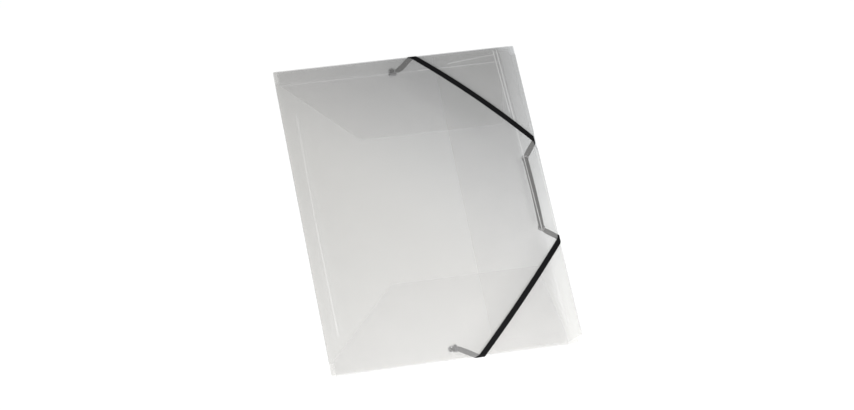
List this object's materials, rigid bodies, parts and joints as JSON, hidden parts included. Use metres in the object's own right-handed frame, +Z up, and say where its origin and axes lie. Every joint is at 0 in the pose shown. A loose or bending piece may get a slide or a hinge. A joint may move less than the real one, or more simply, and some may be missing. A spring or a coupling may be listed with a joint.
{
  "type": "elastic folder",
  "caption": "Flat three-flap document folder of creased translucent sheet, with a cover, gussets and flaps, held shut by elastic over its outer corners.",
  "frame": {"origin": "middle of the footprint, on the surface that the folder lies on", "axes": "+Z up through the cover, +Y towards the folder's top edge, spine on the -X side"},
  "size_m": [0.2412, 0.3224, 0.0054],
  "materials": {
    "translucent_sheet": "frosted translucent polypropylene with a fine sand grain and whitened creases",
    "elastic": "flat woven black elastic with fine lengthwise ribs",
    "metal": "nickel-plated, bright"
  },
  "bodies": {
    "back": {"back_panel": "translucent_sheet", "spine_fold": "translucent_sheet", "side_fold": "translucent_sheet", "top_fold": "translucent_sheet", "bottom_fold": "translucent_sheet", "top_eyelet": "metal", "bottom_eyelet": "metal", "upper_side_eyelet": "metal", "lower_side_eyelet": "metal", "top_elastic_clip": "metal", "bottom_elastic_clip": "metal", "inner_elastic": "elastic", "top_elastic_tail": "elastic", "bottom_elastic_tail": "elastic", "upper_side_elastic_tail": "elastic", "lower_side_elastic_tail": "elastic"},
    "spine": {"spine_strip": "translucent_sheet"},
    "cover": {"front_cover": "translucent_sheet"},
    "side_gusset": {"side_gusset": "translucent_sheet"},
    "side_flap": {"side_flap": "translucent_sheet"},
    "top_gusset": {"top_gusset": "translucent_sheet"},
    "top_flap": {"top_flap": "translucent_sheet"},
    "bottom_gusset": {"bottom_gusset": "translucent_sheet"},
    "bottom_flap": {"bottom_flap": "translucent_sheet"},
    "upper_elastic": {"upper_corner_elastic": "elastic"},
    "lower_elastic": {"lower_corner_elastic": "elastic"}
  },
  "joints": [
    {"name": "cover_open", "type": "hinge", "parent": "back", "child": "spine", "pos_m": [-0.11937, 0, 0.00282], "axis": [0, -1, 0], "range_deg": [0, 168]},
    {"name": "cover_crease", "type": "hinge", "parent": "spine", "child": "cover", "pos_m": [-0.1076, 0, 0.0046], "axis": [0, -1, 0], "range_deg": [0, 12.5]},
    {"name": "side_gusset_fold", "type": "hinge", "parent": "back", "child": "side_gusset", "pos_m": [0.11847, 0, 0.00252], "axis": [0, 1, 0], "range_deg": [0, 150]},
    {"name": "side_flap_crease", "type": "hinge", "parent": "side_gusset", "child": "side_flap", "pos_m": [0.1044, 0, 0.004], "axis": [0, 1, 0], "range_deg": [0, 35]},
    {"name": "top_gusset_fold", "type": "hinge", "parent": "back", "child": "top_gusset", "pos_m": [0, 0.15937, 0.00222], "axis": [-1, 0, 0], "range_deg": [0, 34]},
    {"name": "top_flap_crease", "type": "hinge", "parent": "top_gusset", "child": "top_flap", "pos_m": [0, 0.1455, 0.0034], "axis": [-1, 0, 0], "range_deg": [0, 14]},
    {"name": "bottom_gusset_fold", "type": "hinge", "parent": "back", "child": "bottom_gusset", "pos_m": [0, -0.15937, 0.00222], "axis": [1, 0, 0], "range_deg": [0, 34]},
    {"name": "bottom_flap_crease", "type": "hinge", "parent": "bottom_gusset", "child": "bottom_flap", "pos_m": [0, -0.1455, 0.0034], "axis": [1, 0, 0], "range_deg": [0, 14]},
    {"name": "upper_elastic_slip", "type": "slide", "parent": "back", "child": "upper_elastic", "axis": [0, 0, -1], "range_m": [0, 0.0046], "deforming": ["upper_corner_elastic"]},
    {"name": "lower_elastic_slip", "type": "slide", "parent": "back", "child": "lower_elastic", "axis": [0, 0, -1], "range_m": [0, 0.0046], "deforming": ["lower_corner_elastic"]}
  ],
  "couplings": [
    {"joint": "cover_crease", "follows": "cover_open", "ratio": 0.074405},
    {"joint": "side_gusset_fold", "follows": "cover_open", "ratio": 0.89286},
    {"joint": "side_flap_crease", "follows": "cover_open", "ratio": 0.20833},
    {"joint": "top_gusset_fold", "follows": "cover_open", "ratio": 0.20238},
    {"joint": "top_flap_crease", "follows": "cover_open", "ratio": 0.083333},
    {"joint": "bottom_gusset_fold", "follows": "cover_open", "ratio": 0.20238},
    {"joint": "bottom_flap_crease", "follows": "cover_open", "ratio": 0.083333},
    {"joint": "upper_elastic_slip", "follows": "cover_open", "m_per_rad": 0.0015688},
    {"joint": "lower_elastic_slip", "follows": "cover_open", "m_per_rad": 0.0015688}
  ]
}
